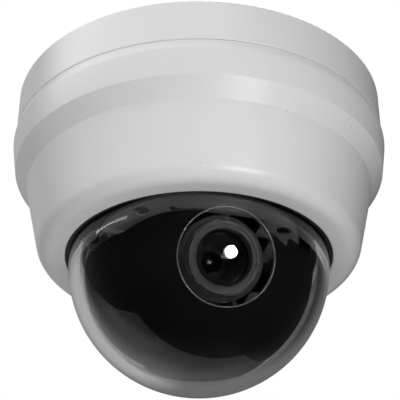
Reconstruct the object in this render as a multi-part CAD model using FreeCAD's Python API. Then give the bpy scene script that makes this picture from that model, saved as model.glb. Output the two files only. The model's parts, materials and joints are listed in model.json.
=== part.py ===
"""Ceiling dome security camera: a varifocal camera on a three-axis gimbal inside a clear bubble.

Millimetres. The origin is the centre of the ceiling face, +Z points up into the ceiling, and the
camera hangs towards -Z with its front towards -Y. Three frames are used below it:
  pan frame   about the gimbal's vertical axis, forward is -Y, +X is the tilt axis
  lens frame  from the gimbal's centre, +Z is the lens axis, +X the tilt axis, +Y the picture's top
"""
import FreeCAD, Part
import math
import os

V = FreeCAD.Vector
ORIGIN = V(0, 0, 0)
X_AXIS = V(1, 0, 0)
Z_AXIS = V(0, 0, 1)

# Housing, from the ceiling down
BASE_TOP_RADIUS = 75.2
SEAM_RADIUS = 75.7
SEAM_Z = -18.3
SEAM_GAP = 0.3
SHOULDER_RADIUS = 76.7
SHOULDER_Z = -22.5
STEP_RADIUS = 75.3
STEP_Z = -34.2
TIER_RADIUS = 70.3
TIER_Z = -41.5
LIP_CORNER_RADIUS = 64.0
LIP_Z = -72.2
LIP_FILLET = 6.6
OPENING_RADIUS = 53.4
WALL = 2.6
PLATE = 3.0
SPIGOT_RADIUS = 71.4
SPIGOT_Z = -25.0

# Bubble
BUBBLE_RADIUS = 51.9
BUBBLE_WALL = 4.5
BUBBLE_CENTRE_Z = -75.1
BUBBLE_FLANGE_RADIUS = 57.5
BUBBLE_FLANGE = 2.0
GASKET = 1.0
CLAMP = 2.5
CLAMP_SCREW_REACH = 60.2
LEAF_REACH = 72.85

# Ceiling fixing and cable entry
FIXING_PCD = 118.0
FIXING_HOLE_RADIUS = 2.3
CABLE_HOLE_RADIUS = 10.0
CABLE_BORE_RADIUS = 4.0
CABLE_X = 24.0
CABLE_Y = -24.0
BOSS_REACH = 52.0

# Gimbal
GIMBAL_Z = -75.0
PAN_REST = 15.0
LENS_DROP = 22.5
SHROUD_ROLL = 13.7
PLATFORM_RISE = 8.5
PLATFORM_RADIUS = 40.5
LINER_SEAT_RADIUS = 46.5
PLATFORM = 3.0
HUB_RADIUS = 32.9
HUB_WALL = 2.4
RETAINER_RADIUS = 38.0
LOCK_REACH = 35.6
LOCK_ANGLE = 52.5
DRUM_RADIUS = 48.0
DRUM_WALL = 2.5
ARM_INNER = 31.3
ARM_OUTER = 34.6
ARM_HALF_WIDTH = 6.0
ARM_SCREW_X = 37.6
ARM_SCREW_Y = 3.2
PIVOT_RADIUS = 2.0
PIVOT_TIP = 22.7
KNOB_RADIUS = 4.5
RUNNING = 0.05
GAP = 0.3

# Shroud and rear liner, both centred on the gimbal
SHROUD_RADIUS = 45.4
SHROUD_WALL = 1.2
SHROUD_CAP = 27.8
LOBE_START = 21.0
LOBE_DROP = 29.0
LOBE_TAPER_DROP = 16.5
LOBE_TAPER = 0.6
LOBE_BACK = -4.0
LOBE_TOP = -4.9
CAP_TOP = -0.3
CAP_TOP_ARC = 73.0
CAP_TOP_X = -1.5
APERTURE_RADIUS = 18.5
LINER_RADIUS = 46.9
LINER_WALL = 0.8
LINER_HALF_ANGLE = 106.0
LINER_DROP = 62.0

# Lens and camera boards, along the lens axis from the gimbal's centre
BARREL_RADIUS = 13.0
RING_CLEARANCE = 0.1
ZOOM_RADIUS = 15.0
ZOOM_LOW = 7.0
ZOOM_HIGH = 15.0
BRACKET_LOW = 16.2
BRACKET_HIGH = 18.4
FOCUS_RADIUS = 16.2
FOCUS_LOW = 19.4
FOCUS_HIGH = 35.4
FRONT_RING_RADIUS = 13.7
FRONT_RING_INNER = 10.5
LENS_FRONT = 38.8
LUG_ANGLE = 107.0
ZOOM_LOCK_ANGLE = 200.0
FOCUS_LOCK_ANGLE = -58.0
ROLL_DRUM_RADIUS = 19.4
CRADLE_RADIUS = 23.0
ROLL_SCREW_REACH = 21.3
CAMERA_BOARD = 28.0
SENSOR_BOARD_Z = -8.0
DSP_BOARD_Z = -16.0
BOARD = 1.2

# Power board under the ceiling plate
POWER_BOARD_RADIUS = 43.0
POWER_BOARD_Z = -14.0
POWER_BOARD = 1.6
STANDOFF_REACH = 34.0


def cylinder(radius, low, high, x=0.0, y=0.0):
    return Part.makeCylinder(radius, high - low, V(x, y, low))


def ring(outer, inner, low, high):
    return cylinder(outer, low, high).cut(cylinder(inner, low - 1, high + 1))


def block(x_low, x_high, y_low, y_high, z_low, z_high):
    return Part.makeBox(x_high - x_low, y_high - y_low, z_high - z_low, V(x_low, y_low, z_low))


def rod_x(radius, x_low, x_high):
    return Part.makeCylinder(radius, x_high - x_low, V(x_low, 0, 0), X_AXIS)


def around(shape, count, start=0.0):
    """Copies of a shape, evenly spaced about the Z axis."""
    copies = []
    for index in range(count):
        copy = shape.copy()
        copy.rotate(ORIGIN, Z_AXIS, start + index * 360.0 / count)
        copies.append(copy)
    return copies


def fused(shapes):
    return shapes[0].fuse(shapes[1:]).removeSplitter()


def group(shapes):
    return Part.makeCompound(shapes)


def mirrored_x(shape):
    return shape.mirror(ORIGIN, X_AXIS)


def outline_edges(corners):
    """Edges of a closed outline of (r, z, fillet) corners, in the XZ plane."""
    entries = []
    count = len(corners)
    for index, (r, z, fillet) in enumerate(corners):
        here = V(r, 0, z)
        before = corners[index - 1]
        after = corners[(index + 1) % count]
        to_before = (V(before[0], 0, before[1]) - here).normalize()
        to_after = (V(after[0], 0, after[1]) - here).normalize()
        if fillet == 0:
            entries.append((here, here, here))
            continue
        half = to_before.getAngle(to_after) / 2
        reach = fillet / math.tan(half)
        bisector = (to_before + to_after).normalize()
        middle = here + bisector * (fillet / math.sin(half) - fillet)
        entries.append((here + to_before * reach, middle, here + to_after * reach))
    edges = []
    for index, (start, middle, end) in enumerate(entries):
        if start != end:
            edges.append(Part.Arc(start, middle, end).toShape())
        following = entries[(index + 1) % count][0]
        if end.distanceToPoint(following) > 1e-6:
            edges.append(Part.LineSegment(end, following).toShape())
    return edges


def turned(corners):
    """Solid of revolution about Z of an outline of (r, z, fillet) corners."""
    face = Part.Face(Part.Wire(outline_edges(corners)))
    return face.revolve(ORIGIN, Z_AXIS, 360)


def shell_of_sphere(outer, wall):
    return Part.makeSphere(outer).cut(Part.makeSphere(outer - wall))


def screw(head_radius, head, shaft_radius, length):
    """Screw pointing up: its head's seat is at z = 0 and the slotted head is below it."""
    body = cylinder(head_radius, -head, 0).fuse(cylinder(shaft_radius, 0, length))
    slot = block(-head_radius, head_radius, -0.35, 0.35, -head, -head * 0.5)
    return body.cut(slot).removeSplitter()


def in_pan_frame(shape):
    shape.rotate(ORIGIN, Z_AXIS, PAN_REST)
    shape.translate(V(0, 0, GIMBAL_Z))
    return shape


def in_lens_frame(shape):
    shape.rotate(ORIGIN, X_AXIS, 90 + LENS_DROP)
    return in_pan_frame(shape)


# ---------------------------------------------------------------- base

def side_entry(margin):
    """The knock-out in the back of the base's wall, drawn in by a margin."""
    half = 9.0 - margin
    return block(-half, half, 60.0, 80.0, SEAM_Z + 4.2 + margin, -PLATE - 2.0 - margin)


def base_shell():
    wall_inner = SEAM_RADIUS - 2 * WALL
    return turned([
        (0, 0, 0),
        (BASE_TOP_RADIUS, 0, 0.8),
        (SEAM_RADIUS, SEAM_Z, 0.5),
        (SPIGOT_RADIUS, SEAM_Z, 0),
        (SPIGOT_RADIUS, SPIGOT_Z, 0.6),
        (SPIGOT_RADIUS - 2.0, SPIGOT_Z, 0.6),
        (SPIGOT_RADIUS - 2.0, SEAM_Z + 1.0, 0),
        (wall_inner - 1.0, -PLATE, 2.0),
        (0, -PLATE, 0),
    ])


def mounting_base():
    body = base_shell()
    pads = around(cylinder(6.0, -PLATE - 3.0, -PLATE, x=FIXING_PCD / 2), 3, 90)
    posts = around(cylinder(4.0, -PLATE - 3.0, -PLATE, x=BOSS_REACH), 3, 30)
    body = fused([body] + pads + posts)
    for hole in around(cylinder(FIXING_HOLE_RADIUS, -10, 1, x=FIXING_PCD / 2), 3, 90):
        body = body.cut(hole)
    for hole in around(cylinder(1.2, -7, -1.5, x=BOSS_REACH), 3, 30):
        body = body.cut(hole)
    for hole in around(cylinder(1.2, -PLATE - 1, -1.5, x=STANDOFF_REACH), 4, 0):
        body = body.cut(hole)
    body = body.cut(cylinder(CABLE_HOLE_RADIUS, -10, 1, x=CABLE_X, y=CABLE_Y))
    return body.cut(side_entry(0.0))


def cable_grommet():
    body = turned([
        (CABLE_BORE_RADIUS, -0.2, 0.5),
        (CABLE_HOLE_RADIUS, -0.2, 0),
        (CABLE_HOLE_RADIUS, -PLATE, 0),
        (CABLE_HOLE_RADIUS + 2.0, -PLATE, 0),
        (CABLE_HOLE_RADIUS + 2.0, -PLATE - 2.0, 0.8),
        (CABLE_BORE_RADIUS + 1.0, -PLATE - 3.5, 0.8),
        (CABLE_BORE_RADIUS, -PLATE - 3.5, 0),
    ])
    body.translate(V(CABLE_X, CABLE_Y, 0))
    return body


def side_entry_plug():
    return base_shell().common(side_entry(0.15))


def gimbal_drum():
    platform_top = GIMBAL_Z + PLATFORM_RISE + PLATFORM
    floor = platform_top + 2 * GAP
    top = -PLATE - 3.0
    body = turned([
        (HUB_RADIUS + 2 * RUNNING, floor, 0),
        (DRUM_RADIUS, floor, 0.8),
        (DRUM_RADIUS, top - 2.5, 0),
        (57.0, top - 2.5, 1.0),
        (57.0, top, 0),
        (DRUM_RADIUS - DRUM_WALL, top, 0),
        (DRUM_RADIUS - DRUM_WALL, floor + 3.0, 1.0),
        (HUB_RADIUS + 2 * RUNNING, floor + 3.0, 0),
    ])
    for window in around(block(40, 60, -14, 14, -48, -20), 3, 90):
        body = body.cut(window)
    for hole in around(cylinder(1.6, -12, 0, x=BOSS_REACH), 3, 30):
        body = body.cut(hole)
    return body


def drum_screws():
    one = screw(2.9, 1.8, 1.15, 6.0)
    one.translate(V(BOSS_REACH, 0, -PLATE - 5.5))
    return group(around(one, 3, 30))


def pan_washer():
    top = GIMBAL_Z + PLATFORM_RISE + PLATFORM + 2 * GAP
    return ring(PLATFORM_RADIUS - 0.5, 37.2, top - GAP, top)


def power_board():
    body = cylinder(POWER_BOARD_RADIUS, POWER_BOARD_Z, POWER_BOARD_Z + POWER_BOARD)
    for hole in around(cylinder(1.3, -20, 0, x=STANDOFF_REACH), 4, 0):
        body = body.cut(hole)
    return body.cut(cylinder(15.0, -20, 0, x=CABLE_X, y=CABLE_Y))


def board_standoffs():
    board_top = POWER_BOARD_Z + POWER_BOARD
    corners = []
    for index in range(7):
        angle = math.radians(60 * index)
        corners.append(V(2.9 * math.cos(angle), 2.9 * math.sin(angle), board_top))
    post = Part.Face(Part.makePolygon(corners)).extrude(V(0, 0, -PLATE - board_top))
    post = post.cut(cylinder(1.2, POWER_BOARD_Z - 1, board_top + 6))
    post.translate(V(STANDOFF_REACH, 0, 0))
    return group(around(post, 4, 0))


def board_screws():
    one = screw(2.5, 1.6, 1.15, 6.0)
    one.translate(V(STANDOFF_REACH, 0, POWER_BOARD_Z))
    return group(around(one, 4, 0))


def terminal_block():
    body = block(-26, -10, 22, 31, POWER_BOARD_Z - 9.0, POWER_BOARD_Z)
    for x in (-23.4, -18.0, -12.6):
        body = body.cut(cylinder(1.7, POWER_BOARD_Z - 10.0, POWER_BOARD_Z - 5.0, x=x, y=26.5))
        wire_slot = block(x - 1.7, x + 1.7, 29.0, 32.0, POWER_BOARD_Z - 7.5, POWER_BOARD_Z - 3.5)
        body = body.cut(wire_slot)
    return body


def terminal_screws():
    screws = []
    for x in (-23.4, -18.0, -12.6):
        one = screw(1.6, 1.2, 1.0, 1.5)
        one.translate(V(x, 26.5, POWER_BOARD_Z - 6.5))
        screws.append(one)
    return group(screws)


def video_socket():
    """BNC socket with its two bayonet lugs, facing back along +Y."""
    body = block(4, 18, 10, 20, POWER_BOARD_Z - 12.0, POWER_BOARD_Z)
    axis = V(0, 1, 0)
    centre = V(11, 20, POWER_BOARD_Z - 6.5)
    barrel = Part.makeCylinder(4.8, 11.0, centre, axis)
    lugs = Part.makeCylinder(0.9, 12.4, centre + V(-6.2, 7.0, 0), X_AXIS)
    body = fused([body, barrel, lugs])
    body = body.cut(Part.makeCylinder(4.0, 9.0, centre + V(0, 2.0, 0), axis))
    pin = Part.makeCylinder(1.1, 8.0, centre + V(0, 1.0, 0), axis)
    return body.fuse(pin).removeSplitter()


def board_chips():
    chips = [
        block(-20, -10, -10, 0, POWER_BOARD_Z - 1.6, POWER_BOARD_Z),
        block(-32, -26, 4, 12, POWER_BOARD_Z - 2.4, POWER_BOARD_Z),
        block(-6, 2, -30, -22, POWER_BOARD_Z - 1.4, POWER_BOARD_Z),
        block(-26, -16, -26, -18, POWER_BOARD_Z - 4.5, POWER_BOARD_Z),
    ]
    return group(chips)


def board_capacitors():
    cans = []
    for x, y, radius, height in ((-4, 8, 4.0, 10.0), (-4, -4, 4.0, 10.0), (-10, 15, 3.0, 7.0)):
        can = cylinder(radius, POWER_BOARD_Z - height, POWER_BOARD_Z, x=x, y=y)
        cans.append(can.makeFillet(0.6, can.Edges[2:3]))
    return group(cans)


def setup_switch():
    body = block(-3, 3, -3, 3, -3.4, 0)
    body = body.cut(cylinder(1.8, -4, -1.0))
    body.translate(V(-34.0, -9.0, POWER_BOARD_Z))
    return body


def setup_button():
    body = cylinder(1.7, -5.4, -2.0)
    body.translate(V(-34.0, -9.0, POWER_BOARD_Z))
    return body


# ---------------------------------------------------------------- lift-off cover

def cover_corners():
    return [
        (SEAM_RADIUS, SEAM_Z - SEAM_GAP, 0.4),
        (SHOULDER_RADIUS, SHOULDER_Z, 6.0),
        (STEP_RADIUS, STEP_Z, 0.8),
        (TIER_RADIUS, TIER_Z, 0.8),
        (LIP_CORNER_RADIUS, LIP_Z, LIP_FILLET),
        (OPENING_RADIUS, LIP_Z, 0.4),
    ]


def inset(corners, distance):
    """The same run of corners moved to the right of its direction of travel."""
    moved = []
    for index, (r, z, fillet) in enumerate(corners):
        before = corners[max(index - 1, 0)]
        after = corners[min(index + 1, len(corners) - 1)]
        normals = []
        for first, last in ((before, (r, z)), ((r, z), after)):
            length = math.hypot(last[0] - first[0], last[1] - first[1])
            if length > 0:
                normals.append(((last[1] - first[1]) / length, (first[0] - last[0]) / length))
        total = (sum(n[0] for n in normals), sum(n[1] for n in normals))
        scale = distance * len(normals) / (total[0] ** 2 + total[1] ** 2)
        shrunk = max(fillet - distance, 0.5) if fillet else 0
        moved.append((r + total[0] * scale, z + total[1] * scale, shrunk))
    return moved


def dome_cover():
    outer = cover_corners()
    inner = inset(outer, WALL)
    top = outer[0][1]
    inner[0] = (inner[0][0], top, 0)
    inner[-1] = (OPENING_RADIUS, LIP_Z + WALL, 0)
    body = turned(outer + inner[::-1])
    bosses = around(cylinder(2.8, LIP_Z + WALL, clamp_floor(), x=CLAMP_SCREW_REACH), 4, 45)
    body = fused([body] + bosses)
    for hole in around(cylinder(1.0, LIP_Z + WALL, clamp_floor() + 1, x=CLAMP_SCREW_REACH), 4, 45):
        body = body.cut(hole)
    return body.cut(clip_pads())


def flange_floor():
    return LIP_Z + WALL + GASKET


def clamp_floor():
    return flange_floor() + BUBBLE_FLANGE


def dome_bubble():
    inner = BUBBLE_RADIUS - BUBBLE_WALL
    ball = Part.makeSphere(BUBBLE_RADIUS, V(0, 0, BUBBLE_CENTRE_Z), Z_AXIS, -90, 0, 360)
    hollow = Part.makeSphere(inner, V(0, 0, BUBBLE_CENTRE_Z), Z_AXIS, -90, 0, 360)
    skirt = cylinder(BUBBLE_RADIUS, BUBBLE_CENTRE_Z, flange_floor())
    flange = cylinder(BUBBLE_FLANGE_RADIUS, flange_floor(), clamp_floor())
    body = fused([ball, skirt, flange])
    body = body.cut(hollow)
    return body.cut(cylinder(inner, BUBBLE_CENTRE_Z, clamp_floor() + 1))


def dome_gasket():
    """L-shaped seal: a flat ring under the bubble's flange and a lip beside its skirt."""
    return turned([
        (BUBBLE_RADIUS, flange_floor(), 0),
        (BUBBLE_RADIUS, LIP_Z + 0.5, 0),
        (OPENING_RADIUS, LIP_Z + 0.5, 0),
        (OPENING_RADIUS, LIP_Z + WALL, 0),
        (BUBBLE_FLANGE_RADIUS - 0.3, LIP_Z + WALL, 0),
        (BUBBLE_FLANGE_RADIUS - 0.3, flange_floor(), 0),
    ])


def clamp_ring():
    body = ring(56.5, DRUM_RADIUS + 1.5, clamp_floor(), clamp_floor() + CLAMP)
    ears = around(cylinder(3.6, clamp_floor(), clamp_floor() + CLAMP, x=59.0), 4, 45)
    body = fused([body] + ears)
    for hole in around(cylinder(1.3, -80, 0, x=CLAMP_SCREW_REACH), 4, 45):
        body = body.cut(hole)
    return body


def clamp_screws():
    one = screw(2.2, 1.4, 0.95, 4.5)
    one.rotate(ORIGIN, X_AXIS, 180)
    one.translate(V(CLAMP_SCREW_REACH, 0, clamp_floor() + CLAMP))
    return group(around(one, 4, 45))


def cover_clips():
    """Spring-steel leaf clips that grip the base's spigot."""
    leaf = block(-4.5, 4.5, LEAF_REACH - 0.5, LEAF_REACH, -30.0, SEAM_Z - 2.0)
    catch = block(-4, 4, LEAF_REACH - 1.1, LEAF_REACH - 0.4, -24.5, -23.0)
    return group(around(fused([leaf, catch]), 3, 60))


def clip_pads():
    """Plastic blocks that hold the clips, pressed into pockets in the cover's wall."""
    pad = block(-3.5, 3.5, LEAF_REACH, LEAF_REACH + 1.4, -29.5, -25.0)
    return group(around(pad, 3, 60))


# ---------------------------------------------------------------- pan body

def pan_platform():
    """Turning platform, open in the middle for the camera and its boards to swing through."""
    low = PLATFORM_RISE
    high = PLATFORM_RISE + PLATFORM
    disc = turned([
        (0, low, 0), (PLATFORM_RADIUS, low, 0.8), (PLATFORM_RADIUS, high, 0.4), (0, high, 0),
    ])
    seat = cylinder(LINER_SEAT_RADIUS, low, high).cut(liner_wedge())
    hub = cylinder(HUB_RADIUS, high, high + hub_height())
    body = fused([disc, seat, hub])
    body = body.cut(cylinder(HUB_RADIUS - HUB_WALL, high, high + hub_height() + 1))
    opening = cylinder(HUB_RADIUS - HUB_WALL, low - 1, high + 1)
    opening = opening.common(block(-26, 26, -15, 34, low - 1, high + 1))
    front = block(-18.5, 18.5, -28, 0, low - 1, high + 1)
    body = body.cut(opening.fuse(front))
    for hole in lock_holes(3.1, low - 1, low + 2.0):
        body = body.cut(hole)
    for hole in lock_holes(1.6, low, high + 1):
        body = body.cut(hole)
    for hole in arm_screw_rods(1.2, low - 1, high + 1):
        body = body.cut(hole)
    return in_pan_frame(body)


def liner_wedge():
    """The front sector that the rear liner leaves open, in the pan frame."""
    wedge_angle = 2 * LINER_HALF_ANGLE
    wedge = Part.makeCylinder(70.0, 200.0, V(0, 0, -100), Z_AXIS, wedge_angle)
    wedge.rotate(ORIGIN, Z_AXIS, -90 - wedge_angle / 2)
    return wedge


def hub_height():
    return 3.0 + 3 * GAP


def lock_holes(radius, low, high):
    """Rods on the axes of the two pan lock screws, one to each side of the lens."""
    rods = []
    for angle in (-LOCK_ANGLE, LOCK_ANGLE):
        rod = cylinder(radius, low, high, y=-LOCK_REACH)
        rod.rotate(ORIGIN, Z_AXIS, angle)
        rods.append(rod)
    return rods


def arm_screw_rods(radius, low, high):
    rods = []
    for x in (-ARM_SCREW_X, ARM_SCREW_X):
        for y in (-ARM_SCREW_Y, ARM_SCREW_Y):
            rods.append(cylinder(radius, low, high, x=x, y=y))
    return rods


def pan_retaining_ring():
    low = PLATFORM_RISE + PLATFORM + hub_height()
    body = ring(RETAINER_RADIUS, HUB_RADIUS - HUB_WALL, low, low + 2.0)
    for hole in around(cylinder(0.9, low - 1, low + 3, x=HUB_RADIUS - HUB_WALL / 2), 3, 90):
        body = body.cut(hole)
    return in_pan_frame(body)


def pan_ring_screws():
    top = PLATFORM_RISE + PLATFORM + hub_height() + 2.0
    one = screw(1.2, 1.0, 0.75, 3.6)
    one.rotate(ORIGIN, X_AXIS, 180)
    one.translate(V(HUB_RADIUS - HUB_WALL / 2, 0, top))
    return in_pan_frame(group(around(one, 3, 90)))


def pan_lock_screws():
    screws = []
    for angle in (-LOCK_ANGLE, LOCK_ANGLE):
        one = screw(2.5, 1.4, 1.5, 1.4)
        one.translate(V(0, -LOCK_REACH, PLATFORM_RISE + 2.0))
        one.rotate(ORIGIN, Z_AXIS, angle)
        screws.append(one)
    return in_pan_frame(group(screws))


def yoke_arm(side):
    plate = block(ARM_INNER, ARM_OUTER, -ARM_HALF_WIDTH, ARM_HALF_WIDTH, 0, PLATFORM_RISE)
    foot = block(
        ARM_INNER, 39.8, -ARM_HALF_WIDTH, ARM_HALF_WIDTH, PLATFORM_RISE - 2.0, PLATFORM_RISE)
    boss = rod_x(ARM_HALF_WIDTH, ARM_INNER, ARM_OUTER)
    body = fused([plate, foot, boss])
    body = body.cut(rod_x(PIVOT_RADIUS + RUNNING, ARM_INNER - 1, ARM_OUTER + 1))
    if side < 0:
        body = mirrored_x(body)
    for hole in arm_screw_rods(1.2, 0, PLATFORM_RISE + 1):
        body = body.cut(hole)
    return in_pan_frame(body)


def arm_screws():
    screws = []
    for x in (-ARM_SCREW_X, ARM_SCREW_X):
        for y in (-ARM_SCREW_Y, ARM_SCREW_Y):
            one = screw(2.0, 1.2, 1.1, 4.6)
            one.translate(V(x, y, PLATFORM_RISE - 2.0))
            screws.append(one)
    return in_pan_frame(group(screws))


def rear_liner():
    """Dark shell behind the camera that hides the housing's inside, open at the bottom."""
    shell = shell_of_sphere(LINER_RADIUS, LINER_WALL)
    low = -LINER_RADIUS * math.sin(math.radians(LINER_DROP))
    band = cylinder(60.0, low, PLATFORM_RISE)
    body = shell.common(band)
    return in_pan_frame(body.cut(liner_wedge()))


# ---------------------------------------------------------------- tilt body

def tilt_cradle():
    """Ring round the camera with an ear at each end of the tilt axis."""
    low = -5.3
    high = 1.3
    body = cylinder(CRADLE_RADIUS, low, high)
    for side in (-1, 1):
        ear = block(19.5, 31.0, -4.5, 4.5, low, 4.5).fuse(rod_x(4.5, 22.6, 31.0))
        ear = ear.cut(block(0, 22.6, -5, 5, high, 10))
        if side < 0:
            ear = mirrored_x(ear)
        body = body.fuse(ear)
    body = body.removeSplitter()
    body = body.cut(cylinder(ROLL_DRUM_RADIUS + RUNNING, low - 1, 10))
    body = body.cut(rod_x(PIVOT_RADIUS, 21.0, 32.0))
    body = body.cut(rod_x(PIVOT_RADIUS, -32.0, -21.0))
    for hole in around(cylinder(0.8, -2, 2, x=ROLL_SCREW_REACH), 4, 45):
        body = body.cut(hole)
    return in_lens_frame(body)


def roll_clamp_ring():
    body = ring(22.5, 16.6, 1.3, 2.5)
    for hole in around(cylinder(0.9, 0, 3, x=ROLL_SCREW_REACH), 4, 45):
        body = body.cut(hole)
    return in_lens_frame(body)


def roll_clamp_screws():
    one = screw(1.2, 0.8, 0.75, 2.6)
    one.rotate(ORIGIN, X_AXIS, 180)
    one.translate(V(ROLL_SCREW_REACH, 0, 2.5))
    return in_lens_frame(group(around(one, 4, 45)))


def tilt_pivots():
    """Shoulder screw on the left and threaded stud for the lock knob on the right."""
    seat = ARM_OUTER + GAP
    left = rod_x(PIVOT_RADIUS, -seat, -PIVOT_TIP).fuse(rod_x(3.8, -seat - 2.0, -seat))
    slot = block(-seat - 2.0, -seat - 1.2, -4.0, 4.0, -0.4, 0.4)
    right = rod_x(PIVOT_RADIUS, PIVOT_TIP, 38.6)
    return in_lens_frame(group([left.cut(slot).removeSplitter(), right]))


def tilt_lock_knob():
    low = ARM_OUTER + GAP
    groove_reach = KNOB_RADIUS + 0.4
    body = rod_x(3.0, low, low + 1.6).fuse(rod_x(KNOB_RADIUS, low + 1.6, low + 5.0))
    for index in range(12):
        angle = math.radians(index * 30)
        groove = rod_x(0.8, low + 1, low + 6)
        groove.translate(V(0, groove_reach * math.cos(angle), groove_reach * math.sin(angle)))
        body = body.cut(groove)
    body = body.cut(rod_x(PIVOT_RADIUS + RUNNING, low - 1, 38.7))
    return in_lens_frame(body.removeSplitter())


# ---------------------------------------------------------------- camera body

def square_plate(side, low, thickness, hole_radius):
    half = side / 2
    body = block(-half, half, -half, half, low, low + thickness)
    for x in (-1, 1):
        for y in (-1, 1):
            reach = half - 2.6
            body = body.cut(cylinder(hole_radius, low - 1, low + thickness + 1, x * reach, y * reach))
    return body


def board_corners(shape):
    reach = CAMERA_BOARD / 2 - 2.6
    copies = []
    for x in (-1, 1):
        for y in (-1, 1):
            copy = shape.copy()
            copy.translate(V(x * reach, y * reach, 0))
            copies.append(copy)
    return copies


def sensor_board():
    return in_lens_frame(square_plate(CAMERA_BOARD, SENSOR_BOARD_Z - BOARD, BOARD, 1.1))


def dsp_board():
    return in_lens_frame(square_plate(CAMERA_BOARD, DSP_BOARD_Z - BOARD, BOARD, 1.1))


def image_sensor():
    return in_lens_frame(block(-6, 6, -5, 5, SENSOR_BOARD_Z, SENSOR_BOARD_Z + 1.6))


def camera_board_spacers():
    post = ring(2.2, 1.1, DSP_BOARD_Z, SENSOR_BOARD_Z - BOARD)
    return in_lens_frame(group(board_corners(post)))


def camera_board_screws():
    length = SENSOR_BOARD_Z - DSP_BOARD_Z + BOARD + 1.8
    one = screw(1.9, 1.2, 1.0, length)
    one.translate(V(0, 0, DSP_BOARD_Z - BOARD))
    return in_lens_frame(group(board_corners(one)))


def dsp_chips():
    low = DSP_BOARD_Z - BOARD
    chips = [block(-6, 6, -7, 5, low - 1.5, low), block(-9, -3, 8, 12, low - 1.2, low)]
    return in_lens_frame(group(chips))


def harness_socket():
    low = DSP_BOARD_Z - BOARD
    body = block(-1, 9, 7, 12, low - 4.0, low)
    return in_lens_frame(body.cut(block(-0.2, 8.2, 7.8, 11.2, low - 5.0, low - 1.0)))


def lens_mount():
    """Holder with the lens thread, on a square foot that the sensor board is screwed to."""
    foot = block(-14, 14, -14, 14, SENSOR_BOARD_Z, SENSOR_BOARD_Z + 2.7)
    drum = cylinder(ROLL_DRUM_RADIUS, SENSOR_BOARD_Z + 2.7, 1.0)
    neck = cylinder(15.4, 1.0, 5.6)
    body = fused([foot, drum, neck])
    body = body.cut(cylinder(12.0, SENSOR_BOARD_Z + 5.0, 8))
    body = body.cut(block(-9, 9, -9, 9, SENSOR_BOARD_Z - 1, SENSOR_BOARD_Z + 5.0))
    for hole in board_corners(cylinder(0.95, SENSOR_BOARD_Z - 1, SENSOR_BOARD_Z + 2.6)):
        body = body.cut(hole)
    return in_lens_frame(body)


def lens_barrel():
    body = turned([
        (8.0, -2.6, 0),
        (11.95, -2.6, 0),
        (11.95, 5.8, 0),
        (BARREL_RADIUS, 5.8, 0),
        (BARREL_RADIUS, FOCUS_HIGH - 3.0, 0),
        (9.6, FOCUS_HIGH - 3.0, 0),
        (9.6, 22.0, 0),
        (8.0, 20.0, 0),
    ])
    return in_lens_frame(body)


def lens_element(radius, rim_low, rim_high, bulge_low, bulge_high):
    """A biconvex glass: a rim with a spherical bulge on each side."""
    def cap(rise):
        ball = (radius ** 2 + rise ** 2) / (2 * rise)
        dome = Part.makeSphere(ball, V(0, 0, rise - ball))
        return dome.common(cylinder(radius, 0, rise + 1))
    top = cap(bulge_high)
    top.translate(V(0, 0, rim_high))
    bottom = cap(bulge_low)
    bottom.rotate(ORIGIN, X_AXIS, 180)
    bottom.translate(V(0, 0, rim_low))
    return fused([cylinder(radius, rim_low, rim_high), top, bottom])


def rear_lens_glass():
    return in_lens_frame(lens_element(8.0, 0.0, 2.4, 0.8, 1.0))


def middle_lens_glass():
    return in_lens_frame(lens_element(8.0, 15.0, 17.0, 0.8, 1.2))


def lobe_taper(reach):
    """The side above a plane that slopes up towards the gimbal's back."""
    corners = [
        V(0, reach, LOBE_BACK - 1),
        V(0, -LOBE_TAPER_DROP - LOBE_TAPER * LOBE_BACK, LOBE_BACK - 1),
        V(0, -LOBE_TAPER_DROP - LOBE_TAPER * reach, reach),
        V(0, reach, reach),
    ]
    face = Part.Face(Part.makePolygon(corners + corners[:1]))
    return face.extrude(V(reach, 0, 0))


def shroud_blank():
    """Front cap with a lobe towards each end of the tilt axis, before its top is trimmed."""
    reach = SHROUD_RADIUS + 5
    shell = shell_of_sphere(SHROUD_RADIUS, SHROUD_WALL)
    cap = shell.common(block(-reach, reach, -reach, reach, SHROUD_CAP, reach))
    lobes = []
    for side in (-1, 1):
        region = block(LOBE_START, reach, -LOBE_DROP, reach, LOBE_BACK, reach)
        region = region.common(lobe_taper(reach))
        if side < 0:
            region = mirrored_x(region)
        lobes.append(shell.common(region))
    pieces = [cap] + lobes
    for piece in pieces:
        piece.rotate(ORIGIN, Z_AXIS, -SHROUD_ROLL)
    bore = cylinder(APERTURE_RADIUS, 0, reach)
    return [in_lens_frame(piece.cut(bore)) for piece in pieces]


def shroud():
    cap, left, right = shroud_blank()
    arch = Part.makeCylinder(CAP_TOP_ARC, 200.0, V(0, 100, CAP_TOP - CAP_TOP_ARC), V(0, -1, 0))
    arch.translate(V(CAP_TOP_X, 0, GIMBAL_Z))
    under = block(-100, 100, -100, 100, GIMBAL_Z - 100, GIMBAL_Z + LOBE_TOP)
    return fused([cap.common(arch), left.common(under), right.common(under)])


def shroud_bracket():
    """Two flat struts from the barrel to the shroud's lobes."""
    plate = ring(16.4, BARREL_RADIUS, BRACKET_LOW, BRACKET_HIGH)
    inner = SHROUD_RADIUS - SHROUD_WALL
    strut = block(-inner, inner, -9.0, -2.0, BRACKET_LOW, BRACKET_HIGH)
    strut = strut.common(Part.makeSphere(inner))
    strut = strut.cut(cylinder(BARREL_RADIUS, 0, 30))
    return in_lens_frame(fused([plate, strut]))


def aperture_ring():
    centre = math.sqrt(SHROUD_RADIUS ** 2 - APERTURE_RADIUS ** 2)
    return in_lens_frame(ring(APERTURE_RADIUS, APERTURE_RADIUS - 0.55, centre - 1.6, centre))


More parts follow.
